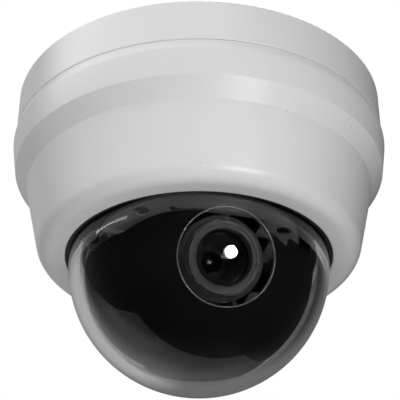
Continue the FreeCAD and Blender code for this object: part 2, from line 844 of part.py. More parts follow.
def thumb_screw(reach, height):
    """Radial lock screw along +X from a ring's surface, with a ribbed head."""
    body = rod_x(1.4, reach, reach + height).fuse(rod_x(2.4, reach + 1.6, reach + height))
    return body.removeSplitter()


def zoom_ring():
    body = ring(ZOOM_RADIUS, BARREL_RADIUS + RING_CLEARANCE, ZOOM_LOW, ZOOM_HIGH)
    groove = cylinder(0.45, ZOOM_LOW + 1.0, ZOOM_HIGH - 1.0, x=ZOOM_RADIUS)
    for cut in around(groove, 40):
        body = body.cut(cut)
    return in_lens_frame(body)


def zoom_lock_screw():
    body = thumb_screw(ZOOM_RADIUS, 5.0)
    body.translate(V(0, 0, (ZOOM_LOW + ZOOM_HIGH) / 2))
    body.rotate(ORIGIN, Z_AXIS, ZOOM_LOCK_ANGLE)
    return in_lens_frame(body)


def focus_ring():
    body = turned([
        (BARREL_RADIUS + RING_CLEARANCE, FOCUS_LOW, 0),
        (FOCUS_RADIUS - 0.7, FOCUS_LOW, 0.3),
        (FOCUS_RADIUS - 0.7, FOCUS_LOW + 6.0, 0),
        (FOCUS_RADIUS, FOCUS_LOW + 6.6, 0.3),
        (FOCUS_RADIUS, FOCUS_HIGH - 1.6, 0.3),
        (FRONT_RING_RADIUS + 0.9, FOCUS_HIGH, 0.3),
        (FRONT_RING_RADIUS + 0.4, FOCUS_HIGH + 2.0, 0.3),
        (FRONT_RING_INNER, FOCUS_HIGH + 2.0, 0),
        (FRONT_RING_INNER, FOCUS_HIGH - 2.0, 0),
        (BARREL_RADIUS + RING_CLEARANCE, FOCUS_HIGH - 2.0, 0),
    ])
    groove = cylinder(0.3, FOCUS_LOW + 7.2, FOCUS_HIGH - 1.4, x=FOCUS_RADIUS + 0.05)
    body = body.cut(group(around(groove, 72)))
    return in_lens_frame(body)


def front_ring():
    """Retaining ring with three round lugs that a pin spanner turns."""
    low = FOCUS_HIGH + 2.0
    body = ring(FRONT_RING_RADIUS, FRONT_RING_INNER, low, LENS_FRONT)
    for lug in around(cylinder(1.25, low, LENS_FRONT, x=FRONT_RING_RADIUS - 0.55), 3, LUG_ANGLE):
        body = body.fuse(lug)
    body = body.removeSplitter()
    pin_hole = cylinder(0.55, LENS_FRONT - 0.7, LENS_FRONT + 1, x=FRONT_RING_RADIUS - 0.5)
    for hole in around(pin_hole, 3, LUG_ANGLE):
        body = body.cut(hole)
    return in_lens_frame(body)


def front_lens_glass():
    rim = LENS_FRONT - 2.8
    return in_lens_frame(lens_element(FRONT_RING_INNER, rim - 2.4, rim, 0.5, 1.9))


def focus_lock_screw():
    body = thumb_screw(FOCUS_RADIUS - 0.7, 5.2)
    body.translate(V(0, 0, FOCUS_LOW + 3.0))
    body.rotate(ORIGIN, Z_AXIS, FOCUS_LOCK_ANGLE)
    return in_lens_frame(body)


NODES = {
    "mounting_base": mounting_base,
    "cable_grommet": cable_grommet,
    "side_entry_plug": side_entry_plug,
    "gimbal_drum": gimbal_drum,
    "drum_screws": drum_screws,
    "pan_washer": pan_washer,
    "power_board": power_board,
    "board_standoffs": board_standoffs,
    "board_screws": board_screws,
    "terminal_block": terminal_block,
    "terminal_screws": terminal_screws,
    "video_socket": video_socket,
    "board_chips": board_chips,
    "board_capacitors": board_capacitors,
    "setup_switch": setup_switch,
    "setup_button": setup_button,
    "dome_cover": dome_cover,
    "dome_bubble": dome_bubble,
    "dome_gasket": dome_gasket,
    "clamp_ring": clamp_ring,
    "clamp_screws": clamp_screws,
    "cover_clips": cover_clips,
    "clip_pads": clip_pads,
    "pan_platform": pan_platform,
    "pan_retaining_ring": pan_retaining_ring,
    "pan_ring_screws": pan_ring_screws,
    "pan_lock_screws": pan_lock_screws,
    "yoke_arm_left": lambda: yoke_arm(-1),
    "yoke_arm_right": lambda: yoke_arm(1),
    "arm_screws": arm_screws,
    "rear_liner": rear_liner,
    "tilt_cradle": tilt_cradle,
    "roll_clamp_ring": roll_clamp_ring,
    "roll_clamp_screws": roll_clamp_screws,
    "tilt_pivots": tilt_pivots,
    "tilt_lock_knob": tilt_lock_knob,
    "lens_mount": lens_mount,
    "sensor_board": sensor_board,
    "image_sensor": image_sensor,
    "dsp_board": dsp_board,
    "camera_board_spacers": camera_board_spacers,
    "camera_board_screws": camera_board_screws,
    "dsp_chips": dsp_chips,
    "harness_socket": harness_socket,
    "lens_barrel": lens_barrel,
    "rear_lens_glass": rear_lens_glass,
    "middle_lens_glass": middle_lens_glass,
    "shroud": shroud,
    "shroud_bracket": shroud_bracket,
    "aperture_ring": aperture_ring,
    "zoom_ring": zoom_ring,
    "zoom_lock_screw": zoom_lock_screw,
    "focus_ring": focus_ring,
    "front_ring": front_ring,
    "front_lens_glass": front_lens_glass,
    "focus_lock_screw": focus_lock_screw,
}

os.makedirs("parts", exist_ok=True)
for node, make in NODES.items():
    shape = make()
    shape.exportStep("parts/" + node + ".step")
    box = shape.BoundBox
    print(node, shape.isValid(), len(shape.Solids), round(shape.Volume / 1000, 3),
          [round(value, 1) for value in (box.XMin, box.YMin, box.ZMin, box.XMax, box.YMax, box.ZMax)])
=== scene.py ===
"""Looks of a ceiling dome security camera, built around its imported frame."""

import json
import math

import bpy
from mathutils import Matrix, Vector


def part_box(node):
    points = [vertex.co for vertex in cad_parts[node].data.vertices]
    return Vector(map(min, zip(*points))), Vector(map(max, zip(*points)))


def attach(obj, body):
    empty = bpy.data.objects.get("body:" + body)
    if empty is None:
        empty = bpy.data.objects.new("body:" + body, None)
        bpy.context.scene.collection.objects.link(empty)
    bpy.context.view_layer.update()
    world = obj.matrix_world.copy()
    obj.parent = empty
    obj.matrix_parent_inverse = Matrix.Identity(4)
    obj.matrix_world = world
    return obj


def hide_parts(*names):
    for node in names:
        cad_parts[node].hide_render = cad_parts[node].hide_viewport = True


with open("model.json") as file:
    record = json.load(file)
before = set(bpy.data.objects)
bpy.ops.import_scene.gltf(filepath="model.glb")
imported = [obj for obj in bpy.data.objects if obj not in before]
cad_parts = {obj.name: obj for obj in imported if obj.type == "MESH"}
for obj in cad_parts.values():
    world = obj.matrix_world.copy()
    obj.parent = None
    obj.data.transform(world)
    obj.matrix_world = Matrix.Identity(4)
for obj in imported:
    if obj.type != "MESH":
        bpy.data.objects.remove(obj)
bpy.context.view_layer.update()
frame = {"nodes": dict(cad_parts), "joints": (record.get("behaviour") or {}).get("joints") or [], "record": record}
cad_nodes = frame["nodes"]
slot_of = {part["node"]: part["material_slot"] for part in frame["record"]["subparts"]}
joint_of = {joint["name"]: joint for joint in frame["joints"]}

MM = 0.001
CEILING = Vector((0.0, 0.0, 0.0))

# The lens frame: from the gimbal's centre, Z along the lens and X along the tilt axis
gimbal = Vector(joint_of["tilt_turn"]["pos_m"])
tilt_axis = Vector(joint_of["tilt_turn"]["axis"]).normalized()
lens_axis = Vector(joint_of["roll_turn"]["axis"]).normalized()
if lens_axis.y > 0:
    lens_axis = -lens_axis
if tilt_axis.x < 0:
    tilt_axis = -tilt_axis
picture_up = lens_axis.cross(tilt_axis)
lens_turn = Matrix((tilt_axis, picture_up, lens_axis)).transposed().to_4x4()
lens_place = Matrix.Translation(gimbal) @ lens_turn


# ---------------------------------------------------------------- finishes

# The share of a lamp's light that each face of the clear bubble passes on
LIGHT_LET_IN = 0.65


class Number:
    """A value in a finish; Python's operators on it add the Math nodes."""

    def __init__(self, finish, socket):
        self.finish = finish
        self.socket = socket

    def calculated(self, operation, first, second):
        return self.finish.node("Math", {"operation": operation}, {0: first, 1: second})

    def __add__(self, other):
        return self.calculated("ADD", self, other)

    def __radd__(self, other):
        return self.calculated("ADD", other, self)

    def __sub__(self, other):
        return self.calculated("SUBTRACT", self, other)

    def __rsub__(self, other):
        return self.calculated("SUBTRACT", other, self)

    def __mul__(self, other):
        return self.calculated("MULTIPLY", self, other)

    def __rmul__(self, other):
        return self.calculated("MULTIPLY", other, self)

    def __gt__(self, other):
        return self.calculated("GREATER_THAN", self, other)

    def __lt__(self, other):
        return self.calculated("LESS_THAN", self, other)


class Finish:
    """The nodes of one material, or of the studio's surroundings."""

    def __init__(self, owner):
        owner.use_nodes = True
        self.owner = owner
        self.tree = owner.node_tree
        self.tree.nodes.clear()

    def node(self, kind, settings=None, inputs=None, output=0):
        """Adds a node: its settings first, then the values or links of its sockets."""
        made = self.tree.nodes.new("ShaderNode" + kind)
        for name, value in (settings or {}).items():
            if name == "stops":
                set_stops(made.color_ramp, value)
            else:
                setattr(made, name, value)
        for name, value in (inputs or {}).items():
            if isinstance(value, Number):
                self.tree.links.new(value.socket, made.inputs[name])
            else:
                made.inputs[name].default_value = value
        return Number(self, made.outputs[output]) if made.outputs else None

    def place(self):
        return self.node("TexCoord", output="Object")

    def noise(self, size, detail=2.0, stretch=(1.0, 1.0, 1.0)):
        """Soft blotches about size metres across, from 0 to 1."""
        place = self.node("Mapping", inputs={"Vector": self.place(), "Scale": stretch})
        return self.node("TexNoise", inputs={"Vector": place, "Scale": 1 / size, "Detail": detail})

    def specks(self, spacing, share, radius):
        """A mask of round specks: a share of the cells spacing metres wide holds one each."""
        settings = {"feature": "F1"}
        inputs = {"Vector": self.place(), "Scale": 1 / spacing}
        distance = self.node("TexVoronoi", settings, inputs, "Distance")
        chance = self.node("TexVoronoi", settings, inputs, "Color")
        drawn = self.node("SeparateColor", inputs={"Color": chance})
        return (distance < radius) * (drawn < share)

    def ramp(self, value, *stops):
        """A grey level that follows (position, level) stops."""
        return self.node("ValToRGB", {"stops": stops}, {"Fac": value})

    def blend(self, amount, first, second):
        """The first colour where amount is 0 and the second where it is 1."""
        inputs = {0: amount, 6: as_colour(first), 7: as_colour(second)}
        return self.node("Mix", {"data_type": "RGBA"}, inputs, 2)

    def relief(self, height, depth, flat=False):
        """A normal from heights of 0 to 1 that stand for depth metres; flat leaves faces flat."""
        inputs = {"Height": height, "Distance": depth}
        if flat:
            inputs["Normal"] = self.node("NewGeometry", output="True Normal")
        return self.node("Bump", inputs=inputs, output="Normal")

    def surface(self, colour, roughness, normal=None, lets_light_in=False, **others):
        """Closes the finish with its shader; lets_light_in is for a clear wall over lit parts."""
        inputs = {"Base Color": as_colour(colour), "Roughness": roughness}
        if normal is not None:
            inputs["Normal"] = normal
        for name, value in others.items():
            inputs[name.replace("_", " ")] = value
        shader = self.node("BsdfPrincipled", inputs=inputs)
        if lets_light_in:
            shadow = self.node("LightPath", output="Is Shadow Ray")
            passing = self.node("BsdfTransparent", inputs={"Color": as_colour(LIGHT_LET_IN)})
            shader = self.node("MixShader", inputs={0: shadow, 1: shader, 2: passing})
        self.node("OutputMaterial", inputs={"Surface": shader})
        return self.owner


def set_stops(ramp, stops):
    while len(ramp.elements) < len(stops):
        ramp.elements.new(1.0)
    for element, (position, level) in zip(ramp.elements, stops):
        element.position = position
        element.color = (level, level, level, 1.0)


def as_colour(value):
    if isinstance(value, Number):
        return value
    if isinstance(value, (int, float)):
        return (value, value, value, 1.0)
    return (*value, 1.0)


def new_finish(name):
    return Finish(bpy.data.materials.new(name))


def satin_moulding(name, level):
    """Off-white satin moulding: cloudy tone, spark-eroded grain, handling marks, dark specks."""
    finish = new_finish(name)
    cloud = finish.noise(0.035, detail=4.0)
    grain = finish.noise(0.0005, detail=3.0)
    smears = finish.ramp(finish.noise(0.012, 5.0, (1.0, 1.0, 0.35)), (0.52, 0.0), (0.75, 1.0))
    specks = finish.specks(0.0065, 0.16, 0.035)
    tone = finish.blend(cloud, (level * 0.97, level * 0.97, level * 0.96), level * 1.02)
    tone = finish.blend(smears * 0.05, tone, level * 0.7)
    tone = finish.blend(specks * 0.6, tone, (0.08, 0.07, 0.06))
    roughness = 0.36 + 0.05 * cloud - 0.06 * smears
    normal = finish.relief(grain, 0.00002)
    return finish.surface(tone, roughness, normal, IOR=1.5, Coat_Roughness=0.25)


def clear_moulding():
    """Clear polycarbonate, with a few smudges and dust motes on its polish."""
    finish = new_finish("clear_polycarbonate")
    smudge = finish.ramp(finish.noise(0.02, 3.0), (0.55, 0.0), (0.8, 1.0))
    motes = finish.specks(0.006, 0.12, 0.03)
    colour = finish.blend(smudge, (0.985, 0.99, 0.99), (0.97, 0.975, 0.975))
    colour = finish.blend(motes * 0.5, colour, 0.6)
    roughness = 0.004 * smudge + 0.15 * motes
    return finish.surface(colour, roughness, lets_light_in=True, Transmission_Weight=1.0, IOR=1.5)


def coated_glass():
    """Lens glass with an anti-reflection coating and a trace of dust."""
    finish = new_finish("coated_lens_glass")
    motes = finish.specks(0.0012, 0.1, 0.06)
    bloom = finish.noise(0.006, 2.0)
    colour = finish.blend(bloom, (0.90, 0.92, 0.95), (0.95, 0.95, 0.97))
    colour = finish.blend(motes, colour, 0.5)
    roughness = 0.2 * motes
    return finish.surface(colour, roughness, Transmission_Weight=1.0, IOR=1.16)


def textured_plastic(name, level, roughness, grain_size=0.0004, dust=0.0, sheen=0.5, flat=False):
    """Dark moulded plastic with a fine grain, slight shine changes and, if asked, dust."""
    finish = new_finish(name)
    cloud = finish.noise(0.008, detail=3.0)
    grain = finish.noise(grain_size, detail=2.0)
    tone = finish.blend(cloud, level * 0.8, level * 1.2)
    if dust:
        motes = finish.specks(0.0022, 0.13, 0.06)
        tone = finish.blend(motes * dust, tone, 0.35)
    normal = finish.relief(grain, 0.00003, flat)
    return finish.surface(tone, roughness - 0.08 + 0.16 * cloud, normal, Specular_IOR_Level=sheen)


def rubber():
    """Matt black rubber with a pitted, slightly bloomed skin."""
    finish = new_finish("black_rubber")
    bloom = finish.noise(0.005, detail=4.0)
    pits = finish.noise(0.0003, detail=3.0)
    tone = finish.blend(bloom, 0.015, 0.04)
    return finish.surface(tone, 0.6 + 0.25 * bloom, finish.relief(pits, 0.00005))


def machined_metal(name, colour, roughness, stretch=(1.0, 1.0, 12.0)):
    """Bright metal with drawn-out tool marks and duller patches."""
    finish = new_finish(name)
    marks = finish.noise(0.0008, 3.0, stretch)
    dull = finish.noise(0.003, 3.0)
    darker = tuple(level * 0.75 for level in colour)
    tone = finish.blend(dull, darker, colour)
    roughness = roughness + 0.15 * marks * dull
    return finish.surface(tone, roughness, finish.relief(marks, 0.00001), Metallic=1.0)


def cast_metal():
    """Bead-blasted zinc casting: dull, pitted grey."""
    finish = new_finish("blasted_casting")
    pits = finish.noise(0.0004, detail=3.0)
    cloud = finish.noise(0.006, detail=3.0)
    tone = finish.blend(cloud, (0.24, 0.24, 0.25), (0.33, 0.33, 0.34))
    return finish.surface(tone, 0.5 + 0.15 * cloud, finish.relief(pits, 0.00006), Metallic=0.9)


def circuit_board():
    """Green solder mask over copper tracks, with tinned pads."""
    finish = new_finish("solder_mask")
    tracks = finish.node(
        "TexVoronoi", {"feature": "DISTANCE_TO_EDGE"},
        {"Vector": finish.place(), "Scale": 260.0, "Randomness": 0.35}, "Distance",
    )
    track_mask = finish.ramp(tracks, (0.04, 1.0), (0.07, 0.0))
    pads = finish.specks(0.0026, 0.35, 0.17)
    mask = finish.blend(finish.noise(0.01), (0.012, 0.10, 0.045), (0.02, 0.14, 0.06))
    board = finish.blend(track_mask * 0.7, mask, (0.04, 0.24, 0.10))
    board = finish.blend(pads, board, (0.62, 0.61, 0.58))
    return finish.surface(board, 0.32 + 0.1 * track_mask, finish.relief(track_mask, 0.00004))


def moulded_epoxy():
    """Chip packages: near-black epoxy, finely pitted."""
    finish = new_finish("chip_epoxy")
    pits = finish.noise(0.00025, detail=2.0)
    cloud = finish.noise(0.003)
    tone = finish.blend(cloud, 0.018, 0.032)
    return finish.surface(tone, 0.45 + 0.15 * pits, finish.relief(pits, 0.00003))


def satin_colour(name, colour):
    """A satin plastic in one colour, mottled and finely grained."""
    finish = new_finish(name)
    cloud = finish.noise(0.004, detail=3.0)
    grain = finish.noise(0.0004)
    darker = tuple(level * 0.85 for level in colour)
    tone = finish.blend(cloud, darker, colour)
    return finish.surface(tone, 0.38 + 0.12 * cloud, finish.relief(grain, 0.00003))


def sensor_window():
    """Dark image sensor under its glossy cover, faintly tinted."""
    finish = new_finish("sensor_window")
    sheen = finish.noise(0.003, detail=1.0)
    tone = finish.blend(sheen, (0.03, 0.035, 0.06), (0.06, 0.05, 0.08))
    return finish.surface(tone, 0.06 + 0.05 * sheen, Coat_Weight=1.0, Coat_Roughness=0.02)


def anodised_black():
    """Black lens metal with fine turned lines along its rings."""
    finish = new_finish("anodised_black")
    turning = finish.noise(0.00035, detail=2.0)
    cloud = finish.noise(0.004, detail=2.0)
    tone = finish.blend(cloud, 0.003, 0.007)
    roughness = 0.3 + 0.2 * cloud
    return finish.surface(tone, roughness, finish.relief(turning, 0.00002), Specular_IOR_Level=0.15)


finish_of = {
    "white_housing": satin_moulding("white_housing_plastic", 0.80),
    "white_base": satin_moulding("white_base_plastic", 0.79),
    "clear_bubble": clear_moulding(),
    "black_rubber": rubber(),
    "black_trim": textured_plastic(
        "black_trim_plastic", 0.004, 0.65, dust=0.3, sheen=0.05, flat=True
    ),
    "grey_trim": textured_plastic("grey_trim_plastic", 0.42, 0.5),
    "grey_platform": textured_plastic("platform_plastic", 0.17, 0.42, flat=True),
    "steel_screws": machined_metal("zinc_plate", (0.68, 0.68, 0.66), 0.28),
    "spring_steel": machined_metal("spring_steel", (0.58, 0.58, 0.57), 0.2),
    "circuit_board": circuit_board(),
    "chips": moulded_epoxy(),
    "capacitor_cans": machined_metal("can_aluminium", (0.74, 0.74, 0.76), 0.32),
    "terminal_green": satin_colour("terminal_green", (0.05, 0.33, 0.13)),
    "nickel": machined_metal("nickel_plate", (0.70, 0.68, 0.63), 0.18),
    "brass_posts": machined_metal("turned_brass", (0.74, 0.56, 0.26), 0.25),
    "white_nylon": satin_colour("white_nylon", (0.76, 0.76, 0.73)),
    "die_cast": cast_metal(),
    "lens_black": anodised_black(),
    "lens_grey": textured_plastic("lens_sleeve_grey", 0.018, 0.5, sheen=0.2),
    "lens_glass": coated_glass(),
    "grip_plastic": textured_plastic(
        "lens_grip_plastic", 0.05, 0.4, grain_size=0.0003, sheen=0.3
    ),
    "polished_edge": textured_plastic("polished_edge", 0.06, 0.4, sheen=0.3),
    "blackened_steel": machined_metal("blackened_steel", (0.04, 0.04, 0.04), 0.35),
    "sensor": sensor_window(),
}


def dress(piece, slot):
    """Gives a piece the finish of its material slot, in place of what it had."""
    piece.data.materials.clear()
    piece.data.materials.append(finish_of[slot])


for node, piece in cad_nodes.items():
    dress(piece, slot_of[node])


# ---------------------------------------------------------------- modelling helpers

ARC_STEP = math.radians(9)
WELD = 0.002


def rounded(corners):
    """Points of a closed outline of (radius, height, fillet) corners in millimetres."""
    points = []
    for index, (radius, height, fillet) in enumerate(corners):
        here = Vector((radius, height))
        if fillet == 0:
            points.append(here)
            continue
        back = (Vector(corners[index - 1][:2]) - here).normalized()
        onward = (Vector(corners[(index + 1) % len(corners)][:2]) - here).normalized()
        half = back.angle(onward) / 2
        centre = here + (back + onward).normalized() * fillet / math.sin(half)
        spoke = here + back * fillet / math.tan(half) - centre
        turn = math.pi - 2 * half
        if back.cross(onward) > 0:
            turn = -turn
        steps = max(2, math.ceil(abs(turn) / ARC_STEP))
        for step in range(steps + 1):
            points.append(centre + Matrix.Rotation(turn * step / steps, 2) @ spoke)
    return points


def arc(radius, centre_height, first_deg, last_deg, steps):
    """Points of an arc about a centre on the axis; 0 degrees is outwards and -90 is down."""
    points = []
    for step in range(steps + 1):
        angle = math.radians(first_deg + (last_deg - first_deg) * step / steps)
        points.append(Vector((radius * math.cos(angle), centre_height + radius * math.sin(angle))))
    return points


def pick(*pieces):
    """Selects these pieces and nothing else, the first as the active one."""
    bpy.ops.object.select_all(action="DESELECT")
    for piece in pieces:
        piece.select_set(True)
    bpy.context.view_layer.objects.active = pieces[0]


def settle():
    """Moves the place of what is selected into its mesh."""
    bpy.ops.object.transform_apply(location=True, rotation=True, scale=True)


def start_edit():
    bpy.ops.object.mode_set(mode="EDIT")


def leave_edit():
    bpy.ops.object.mode_set(mode="OBJECT")


def turned(name, points, steps=128, closed=True):
    """A piece turned about Z from an outline of (radius, height) points in millimetres."""
    bpy.ops.object.select_all(action="DESELECT")
    start = Vector((points[0].x, 0, points[0].y)) * MM
    bpy.ops.mesh.primitive_circle_add(vertices=3, radius=0.01 * MM, location=start)
    piece = bpy.context.active_object
    piece.name = name
    settle()
    start_edit()
    bpy.ops.mesh.select_mode(type="VERT")
    bpy.ops.mesh.select_all(action="SELECT")
    bpy.ops.mesh.merge(type="CENTER")
    path = points + points[:1] if closed else points
    for before, here in zip(path, path[1:]):
        step = (here - before) * MM
        move = {"value": (step.x, 0, step.y)}
        bpy.ops.mesh.extrude_vertices_move(TRANSFORM_OT_translate=move)
    bpy.ops.mesh.select_all(action="SELECT")
    bpy.ops.mesh.spin(steps=steps, angle=2 * math.pi, center=CEILING, axis=(0, 0, 1))
    bpy.ops.mesh.select_all(action="SELECT")
    bpy.ops.mesh.remove_doubles(threshold=WELD * MM)
    bpy.ops.mesh.normals_make_consistent(inside=False)
    leave_edit()
    return piece


def copied_around(piece, count, first_deg=0.0):
    """Copies of a piece about Z, with the piece itself as the first, joined into one."""
    angles = [math.radians(first_deg + 360 * index / count) for index in range(count)]
    copies = [piece]
    for angle in angles[1:]:
        copy = piece.copy()
        copy.data = piece.data.copy()
        bpy.context.collection.objects.link(copy)
        copies.append(copy)
    for copy, angle in zip(copies, angles):
        copy.matrix_world = Matrix.Rotation(angle, 4, "Z") @ copy.matrix_world
    return joined(copies)


def joined(pieces):
    pick(*pieces)
    bpy.ops.object.join()
    settle()
    return pieces[0]


def moved(piece, x, y, z):
    """Slides a piece's mesh by millimetres and leaves its object at the origin."""
    pick(piece)
    piece.location = Vector((x, y, z)) * MM
    settle()
    return piece


def select_faces(piece, wanted):
    """Selects, in edit mode, the faces whose centre and normal satisfy wanted."""
    bpy.ops.mesh.select_all(action="DESELECT")
    leave_edit()
    for face in piece.data.polygons:
        face.select = wanted(face.center / MM, face.normal)
    start_edit()
    bpy.ops.mesh.select_mode(type="FACE")


def ribbed(piece, teeth, low, high, depth):
    """Presses grooves into the outer wall between two heights, each as wide as a tooth."""
    pick(piece)
    start_edit()
    pitch = 2 * math.pi / teeth

    def in_groove(centre, normal):
        outward = normal.x * centre.x + normal.y * centre.y
        on_the_wall = outward > 0.9 * math.hypot(centre.x, centre.y)
        through_pitch = (math.atan2(centre.y, centre.x) % pitch) / pitch
        return on_the_wall and low < centre.z < high and through_pitch < 0.5

    select_faces(piece, in_groove)
    move = {"value": -depth * MM}
    bpy.ops.mesh.extrude_region_shrink_fatten(TRANSFORM_OT_shrink_fatten=move)
    leave_edit()


def along_the_lens(piece):
    """Carries a piece made about Z at the origin to its place on the lens axis."""
    pick(piece)
    piece.matrix_world = lens_place @ piece.matrix_world
    settle()
    return piece


def finished(piece, body, slot, *nodes, smooth=30):
    """Shades, dresses and fixes a piece to its body, in place of the CAD nodes named."""
    pick(piece)
    bpy.ops.object.shade_smooth_by_angle(angle=math.radians(smooth))
    dress(piece, slot)
    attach(piece, body)
    if nodes:
        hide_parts(*nodes)


# ---------------------------------------------------------------- cover and bubble

# Radii and heights in millimetres
bubble_low, bubble_high = (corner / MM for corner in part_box("dome_bubble"))
cover_low, cover_high = (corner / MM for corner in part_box("dome_cover"))
COVER_WALL = 2.6
SEAM_RADIUS = 75.7
BELT_RADIUS = 76.7
BELT_HEIGHT = -22.5
STEP_RADIUS = 75.3
STEP_HEIGHT = -34.2
WAIST_RADIUS = 70.3
WAIST_HEIGHT = -41.5
FOOT_RADIUS = 64.0
POST_REACH = 60.2
POST_RADIUS = 2.8
POST_BORE = 1.0
OPENING = 53.4
BUBBLE = 51.9
BUBBLE_WALL = 4.5
bubble_centre = bubble_low.z + BUBBLE
flange_radius = bubble_high.x
flange_top = bubble_high.z
flange_floor = flange_top - 2.0
seam = cover_high.z
lip = cover_low.z
lip_inside = lip + COVER_WALL


def cover_shell():
    """The stepped push-on housing with its four screw posts."""
    outline = rounded([
        (SEAM_RADIUS, seam, 0.4),
        (BELT_RADIUS, BELT_HEIGHT, 6.0),
        (STEP_RADIUS, STEP_HEIGHT, 0.8),
        (WAIST_RADIUS, WAIST_HEIGHT, 0.8),
        (FOOT_RADIUS, lip, 6.6),
        (OPENING, lip, 0.5),
        (OPENING, lip_inside, 0.3),
        (FOOT_RADIUS - 2.0, lip_inside, 4.0),
        (WAIST_RADIUS - COVER_WALL, WAIST_HEIGHT - 0.6, 0.5),
        (STEP_RADIUS - COVER_WALL, STEP_HEIGHT - 0.7, 0.5),
        (BELT_RADIUS - COVER_WALL, BELT_HEIGHT, 3.4),
        (SEAM_RADIUS - COVER_WALL, seam, 0),
    ])
    shell = turned("cover_shell", outline, steps=240)
    post = turned("cover_post", rounded([
        (POST_BORE, lip_inside - 0.2, 0), (POST_RADIUS, lip_inside - 0.2, 0),
        (POST_RADIUS, flange_top, 0.3), (POST_BORE, flange_top, 0.2),
    ]), steps=24)
    posts = copied_around(moved(post, POST_REACH, 0, 0), 4, 45)
    return joined([shell, posts])


def bubble_shell():
    """The thick clear dome, with its skirt and clamped flange."""
    inner = BUBBLE - BUBBLE_WALL
    inside = arc(inner, bubble_centre, -90, 0, 90)
    rim = rounded([
        (inner, flange_top, 0.4), (flange_radius, flange_top, 0.4),
        (flange_radius, flange_floor, 0.4), (BUBBLE, flange_floor, 0.8), (BUBBLE, bubble_centre, 0),
    ])
    outside = arc(BUBBLE, bubble_centre, 0, -90, 110)
    return turned("dome_clear", inside + rim[:-1] + outside, steps=320, closed=False)


def seal_ring():
    """Rubber seal: a flat ring under the flange with a soft lip beside the skirt."""
    bore = BUBBLE + 0.02
    edge = flange_radius - 0.3
    return turned("dome_seal", rounded([
        (bore, flange_floor, 0), (bore, lip + 0.5, 0.3), (OPENING, lip + 0.5, 0.5),
        (OPENING, lip_inside, 0), (edge, lip_inside, 0), (edge, flange_floor, 0),
    ]), steps=200)


finished(cover_shell(), "cover", "white_housing", "dome_cover", smooth=28)
finished(bubble_shell(), "cover", "clear_bubble", "dome_bubble", smooth=40)
finished(seal_ring(), "cover", "black_rubber", "dome_gasket")


# ---------------------------------------------------------------- lens

# Radii, and heights along the lens from the gimbal's centre, in millimetres
LENS_BORE = 9.6
BARREL = 13.12
FRONT = 38.8
RING_FOOT = 37.4
RING_RADIUS = 13.7
RING_BORE = 10.5
LUG_RADIUS = 1.25
LUG_PIN = 0.55
LUG_REACH = 13.15
LUG_START = 107
FOCUS_BACK = 19.4
GRIP_RADIUS = 16.2
ZOOM_RADIUS = 15.0
TRAP_BACK = 21.6
TRAP_FRONT = 32.2
TRAP_GROOVES = 9
SHROUD_RADIUS = 45.4
APERTURE = 18.5
APERTURE_INSIDE = 17.95


def lens_ring():
    """Front retaining ring: stepped bevels, a bright inner edge and three pinned lugs."""
    face, groove, floor = FRONT - 0.05, FRONT - 0.35, FRONT - 0.7
    ring = turned("lens_front_ring", rounded([
        (RING_RADIUS, RING_FOOT, 0), (RING_RADIUS, face, 0.35), (12.4, face, 0.1),
        (12.2, groove, 0), (11.5, groove, 0.1), (11.3, FRONT - 0.1, 0.1), (10.9, FRONT - 0.1, 0.2),
        (RING_BORE, floor, 0.1), (RING_BORE, RING_FOOT, 0),
    ]), steps=160)
    lug = turned("lens_lug", rounded([
        (0.0, floor, 0), (LUG_PIN, floor, 0), (LUG_PIN, FRONT, 0.08), (LUG_RADIUS, FRONT, 0.15),
        (LUG_RADIUS, RING_FOOT, 0), (0.0, RING_FOOT, 0),
    ]), steps=32, closed=False)
    lugs = copied_around(moved(lug, LUG_REACH, 0, 0), 3, LUG_START)
    return along_the_lens(joined([ring, lugs]))


def meniscus(name, radius, apex, rise, thickness):
    """A lens element whose two faces both bulge forward, with a ground rim."""
    curve = (radius ** 2 + rise ** 2) / (2 * rise)
    edge = math.degrees(math.asin((curve - rise) / curve))
    front = arc(curve, apex - curve, 90, edge, 28)
    hollow = curve - 1.5
    back_edge = math.degrees(math.acos((radius - 0.8) / hollow))
    back = arc(hollow, apex - thickness - hollow, back_edge, 90, 24)
    rim = [Vector((radius, apex - rise - 1.0)), Vector((radius, back[0].y)), back[0]]
    return along_the_lens(turned(name, front + rim + back[1:], steps=128, closed=False))


def front_element():
    return meniscus("lens_front_element", radius=10.45, apex=37.9, rise=3.0, thickness=1.6)


def middle_element():
    return meniscus("lens_middle_element", radius=7.9, apex=18.2, rise=1.6, thickness=1.4)


def focus_sleeve():
    """Focus ring with its finely toothed grip and the stepped nose the front ring screws on."""
    grip_low, grip_high = 26.0, 33.8
    ring = turned("focus_grip_ring", rounded([
        (BARREL, FOCUS_BACK, 0), (15.5, FOCUS_BACK, 0.3), (15.5, grip_low - 0.6, 0),
        (GRIP_RADIUS, grip_low, 0.3), (GRIP_RADIUS, grip_high, 0.3), (14.6, grip_high + 1.6, 0.3),
        (14.1, RING_FOOT, 0.3), (10.52, RING_FOOT, 0), (10.52, 33.4, 0), (BARREL, 33.4, 0),
    ]), steps=288)
    ribbed(ring, 72, grip_low + 0.2, grip_high - 0.2, 0.3)
    return along_the_lens(ring)


def zoom_sleeve():
    """Zoom ring with broad grip flutes."""
    back, front = 7.0, 15.0
    grip_low, grip_high = back + 1.0, front - 1.0
    ring = turned("zoom_grip_ring", rounded([
        (BARREL, back, 0), (ZOOM_RADIUS, back, 0.3), (ZOOM_RADIUS, grip_low, 0),
        (ZOOM_RADIUS, grip_high, 0), (ZOOM_RADIUS, front, 0.3), (BARREL, front, 0),
    ]), steps=160)
    ribbed(ring, 40, grip_low, grip_high, 0.45)
    return along_the_lens(ring)


